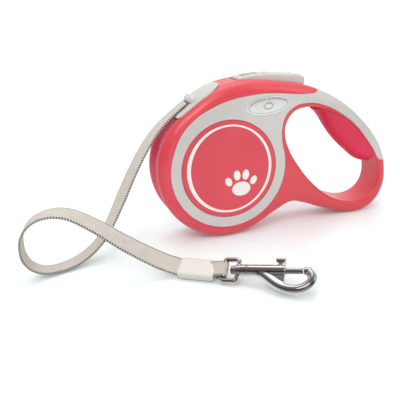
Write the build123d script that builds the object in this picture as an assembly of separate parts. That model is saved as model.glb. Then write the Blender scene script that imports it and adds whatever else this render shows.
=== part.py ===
"""Retractable tape leash: two-shell housing, sprung reel, brake button and a swivel snap on a flat tape.

The drum axis runs along Y. X points from the tape outlet (-X) to the hand grip (+X), Z is up.
Shapes are drawn about the drum axis and moved on export, so that the part's origin is under the
middle of the housing.
"""
from build123d import *
from math import cos, degrees, pi, radians, sin, tan
import os

# ---- driving dimensions, millimetres ----
HOUSING_LENGTH = 148.1
DRUM_R = 41.5
DRUM_X = DRUM_R - HOUSING_LENGTH / 2
DRUM_Z = 41.5
SIDE_HALF = 14.4
GRIP_HALF = 10.4
CAVITY_R = 37.0
CAVITY_HALF = 11.6
TRIM_DEPTH = 1.2
RING_R = 34.6
LABEL_R = 28.4
BADGE_MIDDLE = (24.2, 75.2)
BADGE_RADII = (13.3, 5.2)
FIT = 0.05
GAP = 0.3

AXLE_R = 2.5
FLANGE_R = 35.4
FLANGE_THICK = 1.2
TAPE_WIDTH = 10.0
TAPE_THICK = 1.2
HUB_R = 17.0
SPRING_CHAMBER_R = 15.0
LID_R = 19.0
BOSS_R = 5.0
WOUND_R = 32.5
REEL_LEFT = -8.2
TOOTH_COUNT = 20
TOOTH_DEPTH = 1.6

BUTTON_HALF = 6.2
BUTTON_PIN = (47.0, 81.2)
BUTTON_PIN_R = 1.0
POCKET_HALF = 6.6
POCKET_X = (8.7, 50.5)
PAWL_X = (17.0, 20.0)
PAWL_WELL_X = (14.0, 23.5)

SCREW_SPOTS = [(33.8, 17.6), (69.0, 8.4), (103.0, 21.0), (3.0, 83.0)]
SCREW_R = 1.0
SCREW_HEAD_R = 1.9
SCREW_HEAD = 1.3
SCREW_SEAT_Y = 6.0

# Outline of the housing after the round front: over the top, down the grip and back along the floor.
TOP_POINTS = [(-8.4, 85.0), (1.3, 88.6), (10.5, 89.9), (22, 89.0), (35, 87.0), (48, 84.4), (59, 80.4)]
GRIP_POINTS = [(69, 75.3), (78.8, 68.6), (88.5, 59.7), (98.3, 48.0), (103.8, 38.0), (106.4, 27.0)]
FLOOR_POINTS = [(105.6, 15.0), (99.8, 5.2), (93.6, 1.4), (85.6, 0.0), (77.4, 1.1), (68.4, 3.9)]
ARM_POINTS = [(58.5, 7.9), (48, 12.4), (40, 14.3), (31, 10.9)]
OPENING_POINTS = [(35.3, 57.8), (36.6, 64.5), (41, 69.6), (48.5, 71.4), (56, 70.6), (63.5, 68.4),
                  (73.7, 62.9), (83.6, 55.2), (91.8, 45.4), (97.3, 36), (100.2, 27), (99.8, 18.6),
                  (96.5, 12.4), (90.5, 8.7), (83.1, 7.8), (72.9, 10.4), (62.8, 16.4), (52.8, 25.7),
                  (44, 37), (38, 47.5)]
TRIM_TOP_POINTS = [(-34.3, 45.0), (-31.9, 54.6), (-26.9, 64.6), (-18.7, 72.4), (-8.6, 77.6), (1.7, 80.7),
                   (11.8, 82.0), (21.9, 82.4), (32, 81.6), (42, 80.2), (50, 79.4), (56, 79.6)]
TRIM_TIP = (107.5, 33.0)
TRIM_INNER_POINTS = [(101.2, 32.6), (96.2, 39.9), (90.9, 47.4), (83.4, 56.4), (73.6, 64.4), (63.8, 70.1),
                     (56, 72.9), (48.4, 74), (40.9, 72.9), (35.4, 68.4), (32.9, 61.0), (32.9, 54.0),
                     (34.2, 46.0)]
SPINE_POINTS = [(58.6, 77.0), (67.4, 72.6), (76.9, 66.2), (86.2, 57.6), (95.6, 46.2), (100.8, 37.0),
                (102.6, 31.0)]
PAD_RIDGE_POINTS = [(97.0, 30.6), (90.5, 32.2), (80.6, 40.2), (72.7, 48.3), (68.8, 53.5), (65.9, 58.0),
                    (62.6, 63.6), (58.2, 68.2)]
PAD_BACK_POINTS = [(63.9, 71.2), (73.9, 65.6), (84.4, 57.5), (93.0, 47.5), (98.6, 38.2)]
NOZZLE_POINTS = [(-27.6, 73.0), (-18.6, 75.4), (-8.0, 80.0), (-2.6, 84.2), (-0.6, 87.4)]

# Route of the free tape, from inside the outlet to the sleeve, one radius for each inner point.
TAPE_EXIT = (-20.0, 0.0, 79.4)
TAPE_ROUTE = [TAPE_EXIT, (-34.0, -0.3, 70.6), (-46.2, -2.0, 56.4), (-55.0, -4.0, 43.0),
              (-62.8, -7.0, 30.2), (-70.4, -10.0, 18.0), (-78.6, -12.6, 8.2), (-92.0, -16.5, 1.6),
              (-108.6, -21.5, 2.0), (-118.2, -26.5, 12.2), (-118.2, -31.5, 28.6), (-109.6, -35.6, 38.6),
              (-95.6, -39.6, 40.4), (-81.6, -43.6, 31.8), (-69.6, -45.8, 21.8), (-57.0, -47.2, 12.6),
              (-47.8, -48.6, 6.8), (-42.1, -50.7, 4.8)]
TAPE_TUBE_D = 3.0
SLOT_RISE = 33.0
GUIDE_PIN = (-16.4, 81.6)
GUIDE_PIN_R = 1.7
SLEEVE_START = (-42.4, -50.4, 4.6)
SLEEVE_HEADING = -36.5
SLEEVE_SIZE = (19.5, 12.0, 4.0)
SLEEVE_ROLL = 20.0
HOOK_START = (-26.6, -61.8, 5.0)
HOOK_HEADING = -39.5
HOOK_RISE = 6.7
HOOK_ROLL = 35.0


def disc(radius, y_low, y_high):
    """A cylinder on the drum axis between two Y values."""
    height = y_high - y_low
    return Pos(0, (y_low + y_high) / 2, DRUM_Z) * (Rot(90, 0, 0) * Cylinder(radius, height))


def ring(outer, inner, y_low, y_high):
    return disc(outer, y_low, y_high) - disc(inner, y_low - 1, y_high + 1)


def pin(x, z, radius, y_low, y_high):
    """A cylinder along Y at one spot."""
    return Pos(x, (y_low + y_high) / 2, z) * (Rot(90, 0, 0) * Cylinder(radius, y_high - y_low))


def block(x_low, x_high, y_low, y_high, z_low, z_high):
    size = (x_high - x_low, y_high - y_low, z_high - z_low)
    middle = ((x_low + x_high) / 2, (y_low + y_high) / 2, (z_low + z_high) / 2)
    return Pos(*middle) * Box(*size)


def side_face(wire):
    """Lift a closed wire drawn in the XZ plane to a face."""
    return Face(wire)


def flat(points):
    return [Vector(x, 0, z) for x, z in points]


def prism(face, y_low, y_high):
    """A face in the XZ plane, pulled along Y from one value to another."""
    return extrude(Pos(0, y_low, 0) * face, y_high - y_low, dir=(0, 1, 0))


def drum_point(angle, radius=DRUM_R):
    return Vector(radius * cos(radians(angle)), 0, DRUM_Z + radius * sin(radians(angle)))


def drum_tangent(angle):
    """Direction of travel clockwise round the drum, seen from -Y."""
    return Vector(sin(radians(angle)), 0, -cos(radians(angle)))


# ---- housing ----
FRONT_START = 298
FRONT_END = 122


def housing_face():
    points = flat(TOP_POINTS + GRIP_POINTS + FLOOR_POINTS + ARM_POINTS)
    start, end = drum_point(FRONT_END), drum_point(FRONT_START)
    over_top = Spline([start] + points + [end], tangents=[drum_tangent(FRONT_END), drum_tangent(FRONT_START)])
    front = ThreePointArc(end, drum_point((FRONT_START + FRONT_END) / 2), start)
    return side_face(Wire([over_top, front]))


def opening_face():
    return side_face(Wire([Spline(flat(OPENING_POINTS), periodic=True)]))


def thickness_envelope(inset=0.0):
    """Both side faces: full thickness over the drum, drawn in to the slimmer grip."""
    half, slim = SIDE_HALF - inset, GRIP_HALF - inset
    low = [(-60, -half), (36, -half)]
    near = Spline([(36, -half), (56, -(half + slim) / 2), (78, -slim)], tangents=[(1, 0), (1, 0)])
    far = Spline([(78, slim), (56, (half + slim) / 2), (36, half)], tangents=[(-1, 0), (-1, 0)])
    edges = [Line(low[0], low[1]), near, Line((78, -slim), (120, -slim)), Line((120, -slim), (120, slim)),
             Line((120, slim), (78, slim)), far, Line((36, half), (-60, half)), Line((-60, half), low[0])]
    return extrude(Face(Wire(edges)), 110, dir=(0, 0, 1))


def front_groove():
    """Shallow channel round the front rim, deepest below the outlet and fading to the floor."""
    fade, depth, half_width = 2.2, 2.2, 5.6
    away = Vector(fade * cos(radians(-25)), 0, fade * sin(radians(-25)))
    section = Pos(DRUM_R + fade, 0, 0) * Ellipse(depth, half_width)
    ring_cut = revolve(section, Axis((0, 0, 0), (0, 1, 0)), 130)
    return Pos(away.X, 0, DRUM_Z + away.Z) * (Rot(0, -110, 0) * ring_cut)


def housing_blank():
    reach = SIDE_HALF + 1
    body = prism(housing_face(), -reach, reach) & thickness_envelope()
    return body - prism(opening_face(), -reach, reach) - front_groove()


def trim_face():
    """Side view of the light trim: the ring round the label, the top plate and the grip spine."""
    over = Spline(flat(TRIM_TOP_POINTS))
    corner = [Vector(*TRIM_TOP_POINTS[-1][:1], 0, TRIM_TOP_POINTS[-1][1]), Vector(62, 0, 84),
              Vector(125, 0, 84), Vector(125, 0, TRIM_TIP[1]), Vector(TRIM_TIP[0], 0, TRIM_TIP[1])]
    border = [Line(a, b) for a, b in zip(corner, corner[1:])]
    inner = Spline(flat([TRIM_TIP] + TRIM_INNER_POINTS))
    close = Line(Vector(TRIM_INNER_POINTS[-1][0], 0, TRIM_INNER_POINTS[-1][1]),
                 Vector(TRIM_TOP_POINTS[0][0], 0, TRIM_TOP_POINTS[0][1]))
    return side_face(Wire([over] + border + [inner, close]))


def spine_face():
    """Side view of everything outside a line just within the outer edge of the grip."""
    line = Spline(flat(SPINE_POINTS))
    corner = [line @ 1, Vector(130, 0, SPINE_POINTS[-1][1]), Vector(130, 0, 95),
              Vector(SPINE_POINTS[0][0], 0, 95), line @ 0]
    return side_face(Wire([line] + [Line(a, b) for a, b in zip(corner, corner[1:])]))


def trim_zone():
    """Space taken by both trims: a skin on the sides and the whole outer edge of the grip."""
    plate = prism(trim_face(), -30, 30)
    outline = plate + disc(RING_R, -30, 30)
    skin = outline - thickness_envelope(TRIM_DEPTH)
    return skin + (plate & prism(spine_face(), -25, 25))


def cavity():
    """Reel chamber, brake pocket and tape channel inside the shells."""
    chamber = disc(CAVITY_R, -CAVITY_HALF, CAVITY_HALF)
    pocket = block(*POCKET_X, -POCKET_HALF, POCKET_HALF, 74, 95)
    pawl_well = block(*PAWL_WELL_X, -POCKET_HALF, POCKET_HALF, 70.5, 76)
    channel = Pos(-15, 0, 82.4) * (Rot(0, -SLOT_RISE, 0) * Box(30, TAPE_WIDTH + 1.2, 5))
    return chamber + pocket + pawl_well + channel


def half(shape, side):
    """The part of a shape on the left (-1) or right (+1) of the joint plane."""
    return shape & block(-80, 140, min(0, 40 * side), max(0, 40 * side), -20, 120)


def screw_holes():
    holes = []
    for x, z in SCREW_SPOTS:
        holes.append(pin(x, z, SCREW_R, -7, 10))
        holes.append(pin(x, z, SCREW_HEAD_R + FIT, SCREW_SEAT_Y, 30))
    return holes


def screws():
    out = []
    for x, z in SCREW_SPOTS:
        head = pin(x, z, SCREW_HEAD_R, SCREW_SEAT_Y, SCREW_SEAT_Y + SCREW_HEAD)
        slot = block(x - 1.2, x + 1.2, SCREW_SEAT_Y + 0.7, 9, z - 0.25, z + 0.25)
        cross = block(x - 0.25, x + 0.25, SCREW_SEAT_Y + 0.7, 9, z - 1.2, z + 1.2)
        out.append(head + pin(x, z, SCREW_R, -6.5, SCREW_SEAT_Y) - slot - cross)
    return Compound(out)


def nozzle_zone():
    """Side view of the outlet cap, a saddle over the top front edge."""
    lower = Spline(flat(NOZZLE_POINTS))
    ends = [Vector(NOZZLE_POINTS[-1][0], 0, NOZZLE_POINTS[-1][1]), Vector(0.4, 0, 96), Vector(-32, 0, 96),
            Vector(NOZZLE_POINTS[0][0], 0, NOZZLE_POINTS[0][1])]
    edges = [lower] + [Line(a, b) for a, b in zip(ends, ends[1:])]
    return prism(side_face(Wire(edges)), -8.4, 8.4)


def tape_slot():
    return Pos(-25, 0, 76.2) * (Rot(0, -SLOT_RISE, 0) * Box(34, TAPE_WIDTH + 1.2, 3.6))


# ---- reel and spring ----
def reel():
    left = REEL_LEFT
    tooth_pitch = 360 / TOOTH_COUNT
    flange = disc(FLANGE_R, left, left + FLANGE_THICK)
    for step in range(TOOTH_COUNT):
        angle = radians(step * tooth_pitch)
        spot = (FLANGE_R * cos(angle), left + FLANGE_THICK / 2, DRUM_Z + FLANGE_R * sin(angle))
        flange -= Pos(*spot) * (Rot(0, 45 - degrees(angle), 0) * Box(2 * TOOTH_DEPTH, 4, 2 * TOOTH_DEPTH))
    right = left + FLANGE_THICK + TAPE_WIDTH + 2 * GAP
    hub = ring(HUB_R, SPRING_CHAMBER_R, left + FLANGE_THICK, right + FLANGE_THICK)
    far_flange = ring(FLANGE_R, SPRING_CHAMBER_R, right, right + FLANGE_THICK)
    bore = disc(AXLE_R + FIT, left - 2, left + 8)
    return flange + disc(BOSS_R, left, left + 3) + hub + far_flange - bore


def reel_cover():
    """Lid of the spring chamber, on the far side of the reel."""
    low = REEL_LEFT + 2 * FLANGE_THICK + TAPE_WIDTH + 2 * GAP
    lid = disc(LID_R, low, low + 1)
    return lid - disc(AXLE_R + 1.6, low - 1, low + 2)


def spiral_spring():
    """Flat coiled drive spring: a thin ribbon wound from the arbor to the hub wall."""
    turns, steps, inner, outer, leaf = 6, 14, 4.6, SPRING_CHAMBER_R - 0.5, 0.35
    count = turns * steps
    path = [(inner + (outer - inner) * k / count, 2 * pi * k / steps) for k in range(count + 1)]
    out_side = [Vector(r * cos(a), 0, r * sin(a)) for r, a in path]
    in_side = [Vector((r - leaf) * cos(a), 0, (r - leaf) * sin(a)) for r, a in path]
    edges = [Spline(out_side), Line(out_side[-1], in_side[-1]), Spline(in_side), Line(in_side[0], out_side[0])]
    low = REEL_LEFT + FLANGE_THICK + 2.4
    return Pos(0, 0, DRUM_Z) * prism(side_face(Wire(edges)), low, low + 7.6)


def tape_winding():
    low = REEL_LEFT + FLANGE_THICK + GAP
    return ring(WOUND_R, HUB_R + FIT, low, low + TAPE_WIDTH)


# ---- brake ----
def brake_button():
    """Thumb lever over the pocket with its pawl arm; the pin is near its rear end."""
    top = [(10.4, 90.2), (15, 91.3), (22, 91.7), (32, 91.2), (42, 90.0), (49.6, 88.6)]
    bottom = [(51.2, 86.6), (50.0, 84.4), (46, 83.6), (35, 84.8), (22, 86.6), (14, 87.4)]
    outline = Wire([Spline(flat(top + bottom), periodic=True)])
    pad = prism(side_face(outline), -BUTTON_HALF, BUTTON_HALF)
    skirt = block(14, 46, -3.6, 3.6, 82.6, 87.2)
    knuckle = pin(*BUTTON_PIN, 2.4, -3.6, 3.6)
    arm = block(*PAWL_X, -4.6, -3.0, 75.9, 87.0)
    recess = block(13.4, 24.0, -3.8, 3.8, 90.5, 95)
    return pad + skirt + knuckle + arm - recess - pin(*BUTTON_PIN, BUTTON_PIN_R + FIT, -6, 6)


def button_pin():
    return pin(*BUTTON_PIN, BUTTON_PIN_R, -POCKET_HALF - 2, POCKET_HALF + 2)


def lock_slider():
    """Ribbed thumb slider in a recess near the button's front end."""
    slider = block(14.0, 20.4, -3.6, 3.6, 90.6, 91.6)
    for k in range(4):
        rib = 14.7 + 1.5 * k
        slider += block(rib, rib + 0.6, -3.2, 3.2, 91.6, 92.1)
    return slider


def coil_spring(radius, wire_r, pitch, height):
    path = Helix(pitch, height, radius)
    section = Plane(origin=path @ 0, z_dir=path % 0) * Circle(wire_r)
    return sweep(section, path=path)


def button_spring():
    return Pos(28.0, 0, 74.3) * coil_spring(1.9, 0.25, 1.3, 8.0)


# ---- grip pad, labels, badges ----
def grip_pad():
    """Soft swelling on the inside of the grip, D-shaped across and deepest in the middle."""
    ridge = Spline(flat(PAD_RIDGE_POINTS))
    back = Spline(flat(PAD_BACK_POINTS))
    ends = [Line(ridge @ 1, back @ 0), Line(back @ 1, ridge @ 0)]
    body = prism(side_face(Wire([ridge, ends[0], back, ends[1]])), -GRIP_HALF, GRIP_HALF)
    slope, depth = 43.3, 15.0
    swelling = Rot(0, slope, 0) * (Rot(0, 90, 0) * extrude(Ellipse(depth, GRIP_HALF - 1.2), 30, both=True))
    return body & (Pos(88.4, 0, 60.6) * swelling)


def label(side):
    outer = side * (SIDE_HALF + 0.1)
    inner = side * (SIDE_HALF - TRIM_DEPTH)
    return disc(LABEL_R, min(outer, inner), max(outer, inner))


def badge(side):
    outer = side * (SIDE_HALF + 0.7)
    inner = side * (SIDE_HALF - 0.6)
    low, high = min(outer, inner), max(outer, inner)
    x, z = BADGE_MIDDLE
    oval = Pos(x, 0, z) * (Rot(0, -3, 0) * (Rot(90, 0, 0) * Ellipse(*BADGE_RADII)))
    return prism(oval, low, high)


# ---- sleeve and snap hook ----
def tape_sleeve():
    """Moulded sleeve that holds the tape's end fold."""
    length, width, thick = SLEEVE_SIZE
    body = fillet(Box(length, width, thick).edges(), 0.9)
    lay = Pos(*SLEEVE_START) * (Rot(0, 0, SLEEVE_HEADING) * Rot(SLEEVE_ROLL, 0, 0))
    return lay * (Pos(length / 2, 0, 0) * body)


def hook_frame(shape):
    """Place a shape drawn along +X, in the XY plane, at the tape's end on the floor."""
    turn = Rot(0, 0, HOOK_HEADING) * Rot(0, -HOOK_RISE, 0) * Rot(HOOK_ROLL, 0, 0)
    return Pos(*HOOK_START) * turn * shape


EYE_BAR_U = 4.0
EYE_HALF = 6.0
EYE_END_U = 11.8
WIRE_R = 1.25
COLLAR_U = (13.6, 17.6)
POST_R = 1.5
BOLT_R = 1.6


def tape_loop():
    """Short end of the tape folded round the eye's bar."""
    wrap = Rot(90, 0, 0) * (Cylinder(WIRE_R + TAPE_THICK, 8.4) - Cylinder(WIRE_R + FIT, 10))
    tail = Pos(-3.0, 0, 0) * Box(3.2, 8.4, 2 * TAPE_THICK)
    body = wrap + tail - Rot(90, 0, 0) * Cylinder(WIRE_R + FIT, 10)
    return hook_frame(Pos(EYE_BAR_U, 0, 0) * body)


def swivel_eye():
    """D-shaped eye: bar, bow and the boss that carries the swivel post."""
    points = [(EYE_BAR_U, -EYE_HALF), (EYE_BAR_U, EYE_HALF), (EYE_END_U, EYE_HALF), (EYE_END_U, -EYE_HALF)]
    path = FilletPolyline(*points, radius=1.7, close=True)
    bow = sweep(Plane(origin=path @ 0, z_dir=path % 0) * Circle(WIRE_R), path=path)
    boss = along(2.6, 10.6, COLLAR_U[0])
    bore = along(POST_R + FIT, 6, 18)
    return hook_frame(bow + boss - bore)


def along(radius, start, end):
    """A cylinder on the hook's long axis between two distances from the tape's end."""
    return Pos((start + end) / 2, 0, 0) * (Rot(0, 90, 0) * Cylinder(radius, end - start))


def hook_body():
    """Cast snap body: barrel for the bolt, and the bow that curls back to the bolt's nose."""
    barrel = along(3.0, 16.9, 36.5)
    path = Spline([(22.5, -1.0, 0), (28.5, -4.6, 0), (34.5, -8.4, 0), (41.2, -9.9, 0), (47.0, -8.2, 0),
                   (49.6, -4.4, 0), (47.8, -0.9, 0)], tangents=[(1, -0.3, 0), (-1, 0.7, 0)])
    bow = sweep(Plane(origin=path @ 0, z_dir=path % 0) * Circle(2.3), path=path)
    web_outline = Polyline((19, -2.2), (27, -4.6), (33.6, -8.0), (36.5, -7.6), (36.5, -2.2), close=True)
    web = extrude(Face(Wire(web_outline.edges())), 1.3, both=True)
    body = barrel + bow + web + along(2.1, 45.5, 48.9)
    tab_slot = Pos(30.4, 2.6, 0) * Box(9.6, 4, 1.9)
    return hook_frame(body - along(BOLT_R + FIT, 23.0, 40.0) - tab_slot)


def swivel_post():
    """Rivet through the eye's boss, fast in the snap body."""
    return hook_frame(along(2.3, 8.6, 10.2) + along(POST_R, 10.2, COLLAR_U[1] - 0.7))


def swivel_collar():
    return hook_frame(along(3.0, COLLAR_U[0] + 0.2, COLLAR_U[1] - 0.8) - along(POST_R, 12, 18))


def hook_bolt():
    """Sliding bolt with its thumb knob; its nose closes the mouth."""
    stem = Pos(33.4, 3.0, 0) * Box(2.2, 3.6, 1.6)
    knob = fillet((Pos(33.4, 5.4, 0) * Box(5.0, 2.2, 3.6)).edges(), 0.7)
    return hook_frame(along(BOLT_R, 31.2, 45.0) + stem + knob)


def bolt_spring():
    return hook_frame(Pos(23.3, 0, 0) * (Rot(0, 90, 0) * coil_spring(1.2, 0.2, 1.0, 7.4)))


# ---- free tape ----
def turn_radii(route):
    """Largest arc that each inner point's two runs allow."""
    points = [Vector(*p) for p in route]
    radii = []
    for before, here, after in zip(points, points[1:], points[2:]):
        turn = radians((here - before).get_angle(after - here))
        shorter = min((here - before).length, (after - here).length)
        radii.append(0.45 * shorter / tan(turn / 2))
    return radii


def free_tape():
    radii = turn_radii(TAPE_ROUTE)
    print("tape radii", [round(r, 1) for r in radii])
    path = FilletPolyline(*TAPE_ROUTE, radius=radii)
    section = Plane(origin=path @ 0, z_dir=path % 0) * Circle(TAPE_TUBE_D / 2)
    tube = sweep(section, path=path)
    expected = pi * TAPE_TUBE_D ** 2 / 4 * path.length
    print("tape length", round(path.length, 1), "volume ratio", round(tube.volume / expected, 4))
    return tube


def thrust_bosses():
    """Rings on the shells that keep the reel in the middle of the chamber."""
    return ring(BOSS_R, AXLE_R, -CAVITY_HALF - 0.2, REEL_LEFT - GAP) + ring(BOSS_R, AXLE_R, 6.6, CAVITY_HALF + 0.2)


def make_shell(blank):
    """Both shells as one solid: the housing less everything that sits in it."""
    shell = blank - trim_zone() - nozzle_zone() - cavity() - grip_pad() - button_pin()
    for hole in screw_holes():
        shell -= hole
    return shell + thrust_bosses() - axle() - tape_slot()


def make_trim(blank):
    recess = disc(LABEL_R + FIT, -30, 30)
    return (blank & trim_zone()) - recess - badge(-1) - badge(1) - grip_pad()


def make_nozzle(blank):
    """Outlet cap with its slot and the guide pin's bore."""
    cap = (blank & nozzle_zone()) - disc(CAVITY_R + 0.8, -20, 20)
    return cap - tape_slot() - guide_pin()


def guide_pin():
    return pin(*GUIDE_PIN, GUIDE_PIN_R, -8.0, 8.0)


def axle():
    return disc(AXLE_R, -CAVITY_HALF - 1.2, CAVITY_HALF + 1.2)


def build_parts():
    blank = housing_blank()
    shell, trim = make_shell(blank), make_trim(blank)
    parts = {}
    for name, side in (("left", -1), ("right", 1)):
        parts[name + "_shell"] = half(shell, side)
        parts[name + "_trim"] = half(trim, side)
        parts[name + "_label"] = label(side)
        parts[name + "_badge"] = badge(side)
    parts["tape_nozzle"] = make_nozzle(blank)
    parts["nozzle_guide_pin"] = guide_pin()
    parts["grip_pad"] = grip_pad()
    parts["axle"] = axle()
    parts["spring_arbor"] = ring(AXLE_R + 1.4, AXLE_R, REEL_LEFT + FLANGE_THICK + 2.2, 6.4)
    parts["reel"] = reel()
    parts["reel_cover"] = reel_cover()
    parts["spiral_spring"] = spiral_spring()
    parts["tape_winding"] = tape_winding()
    parts["brake_button"] = brake_button()
    parts["button_pin"] = button_pin()
    parts["lock_slider"] = lock_slider()
    parts["button_spring"] = button_spring()
    parts["housing_screws"] = screws()
    parts["free_tape"] = free_tape()
    parts["tape_sleeve"] = tape_sleeve()
    parts["tape_loop"] = tape_loop()
    parts["swivel_eye"] = swivel_eye()
    parts["swivel_post"] = swivel_post()
    parts["swivel_collar"] = swivel_collar()
    parts["hook_body"] = hook_body()
    parts["hook_bolt"] = hook_bolt()
    parts["bolt_spring"] = bolt_spring()
    return parts


os.makedirs("parts", exist_ok=True)
for node, shape in build_parts().items():
    export_step(Pos(DRUM_X, 0, 0) * shape, f"parts/{node}.step")
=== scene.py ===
"""Retractable tape leash: finished shells, trim, grip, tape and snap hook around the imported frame."""
from math import atan2, cos, degrees, pi, radians, sin, sqrt
import bmesh
import bpy
from mathutils import Matrix, Vector


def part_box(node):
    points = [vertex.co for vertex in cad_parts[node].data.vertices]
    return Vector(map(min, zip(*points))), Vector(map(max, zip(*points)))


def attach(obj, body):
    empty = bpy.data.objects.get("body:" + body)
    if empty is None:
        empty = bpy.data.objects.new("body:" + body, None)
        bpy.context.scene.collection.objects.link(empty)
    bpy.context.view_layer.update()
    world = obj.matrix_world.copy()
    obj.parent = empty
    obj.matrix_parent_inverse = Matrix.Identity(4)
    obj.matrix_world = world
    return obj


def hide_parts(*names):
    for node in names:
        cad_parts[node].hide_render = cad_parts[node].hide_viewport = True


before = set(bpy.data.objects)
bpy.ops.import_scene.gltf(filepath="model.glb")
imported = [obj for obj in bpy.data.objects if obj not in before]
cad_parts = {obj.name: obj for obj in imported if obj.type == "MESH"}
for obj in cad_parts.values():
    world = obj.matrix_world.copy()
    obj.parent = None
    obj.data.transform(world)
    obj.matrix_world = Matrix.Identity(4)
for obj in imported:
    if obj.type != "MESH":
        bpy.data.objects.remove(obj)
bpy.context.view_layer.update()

MM = 0.001


def middle(node):
    low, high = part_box(node)
    return (Vector(low) + Vector(high)) / 2


DRUM = middle("left_label")
DRUM_R = 41.5


def spot(x, y, z):
    """A point given in millimetres from the drum axis and the floor."""
    return Vector((DRUM.x + x * MM, y * MM, z * MM))


# ---------------------------------------------------------------- node helper
class Maker:
    """Short way to add nodes to one tree."""

    def __init__(self, tree):
        self.tree = tree

    def node(self, kind, **values):
        made = self.tree.nodes.new(kind)
        for key, value in values.items():
            setattr(made, key, value)
        return made

    def link(self, source, target):
        self.tree.links.new(source, target)

    def feed(self, socket, value):
        if isinstance(value, bpy.types.NodeSocket):
            self.link(value, socket)
        else:
            socket.default_value = value

    def math(self, operation, a, b=0.0, c=0.0, clamp=False):
        made = self.node("ShaderNodeMath", operation=operation, use_clamp=clamp)
        for socket, value in zip(made.inputs, (a, b, c)):
            self.feed(socket, value)
        return made.outputs[0]

    def blend(self, share, a, b):
        made = self.node("ShaderNodeMix", data_type="RGBA")
        self.feed(made.inputs["Factor"], share)
        self.feed(made.inputs["A"], a)
        self.feed(made.inputs["B"], b)
        return next(o for o in made.outputs if o.type == "RGBA")

    def remap(self, value, low, high, to_low=0.0, to_high=1.0):
        made = self.node("ShaderNodeMapRange", interpolation_type="SMOOTHSTEP")
        for name, item in (("Value", value), ("From Min", low), ("From Max", high), ("To Min", to_low),
                           ("To Max", to_high)):
            self.feed(made.inputs[name], item)
        return made.outputs["Result"]

    def noise(self, place, scale, detail=2.0, rough=0.5):
        made = self.node("ShaderNodeTexNoise")
        self.link(place, made.inputs["Vector"])
        made.inputs["Scale"].default_value = scale
        made.inputs["Detail"].default_value = detail
        made.inputs["Roughness"].default_value = rough
        return made.outputs["Fac"]

    def bump(self, height, strength, distance, normal=None):
        made = self.node("ShaderNodeBump")
        made.inputs["Strength"].default_value = strength
        made.inputs["Distance"].default_value = distance
        self.link(height, made.inputs["Height"])
        if normal:
            self.link(normal, made.inputs["Normal"])
        return made.outputs["Normal"]


# ---------------------------------------------------------------- camera, light and floor
def place_camera():
    azimuth, elevation, roll = radians(-16.7), radians(19.3), radians(-3.2)
    distance, look_at = 0.3563, spot(-14.3, 0, 20.8)
    back = Vector((sin(azimuth) * cos(elevation), -cos(azimuth) * cos(elevation), sin(elevation)))
    right = Vector((cos(azimuth), sin(azimuth), 0))
    up = back.cross(right)
    tilted_right = right * cos(roll) + up * sin(roll)
    tilted_up = up * cos(roll) - right * sin(roll)
    data = bpy.data.cameras.new("camera")
    data.lens = 54
    data.sensor_width = 36
    camera = bpy.data.objects.new("camera", data)
    camera.matrix_world = Matrix.Translation(look_at + distance * back) @ Matrix(
        (tilted_right, tilted_up, back)).transposed().to_4x4()
    bpy.context.scene.collection.objects.link(camera)
    bpy.context.scene.camera = camera


def area_light(name, place, aim, size, power, colour=(1, 1, 1)):
    data = bpy.data.lights.new(name, "AREA")
    data.shape = "DISK"
    data.size = size
    data.energy = power
    data.color = colour
    lamp = bpy.data.objects.new(name, data)
    lamp.location = place
    lamp.rotation_euler = (Vector(aim) - Vector(place)).to_track_quat("-Z", "Y").to_euler()
    bpy.context.scene.collection.objects.link(lamp)


def place_lights():
    area_light("key", (-0.55, -0.75, 0.95), (0, 0, 0.03), 0.7, 6.0)
    area_light("fill", (0.85, -0.65, 0.60), (0, 0, 0.03), 0.8, 2.4)
    area_light("top", (0.05, 0.25, 1.15), (0, 0, 0.02), 1.0, 4.8)
    area_light("front", (-0.15, -1.1, 0.25), (0, 0, 0.04), 0.6, 0.9)
    world = bpy.data.worlds.new("studio")
    world.use_nodes = True
    nodes, links = world.node_tree.nodes, world.node_tree.links
    parts = nodes.new("ShaderNodeSeparateXYZ")
    links.new(nodes.new("ShaderNodeTexCoord").outputs["Generated"], parts.inputs[0])
    ramp = nodes.new("ShaderNodeValToRGB")
    links.new(parts.outputs["Z"], ramp.inputs["Fac"])
    ramp.color_ramp.elements[0].position, ramp.color_ramp.elements[1].position = 0.16, 0.62
    ramp.color_ramp.elements[0].color = (0.10, 0.10, 0.105, 1)
    ramp.color_ramp.elements[1].color = (1.0, 1.0, 1.0, 1)
    seen = nodes.new("ShaderNodeMix")
    seen.data_type = "RGBA"
    links.new(nodes.new("ShaderNodeLightPath").outputs["Is Camera Ray"], seen.inputs["Factor"])
    links.new(ramp.outputs["Color"], seen.inputs["A"])
    seen.inputs["B"].default_value = (1.25, 1.25, 1.25, 1)
    links.new(next(o for o in seen.outputs if o.type == "RGBA"), nodes["Background"].inputs["Color"])
    nodes["Background"].inputs["Strength"].default_value = 0.76
    bpy.context.scene.world = world
    bpy.context.scene.view_settings.view_transform = "Standard"


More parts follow.
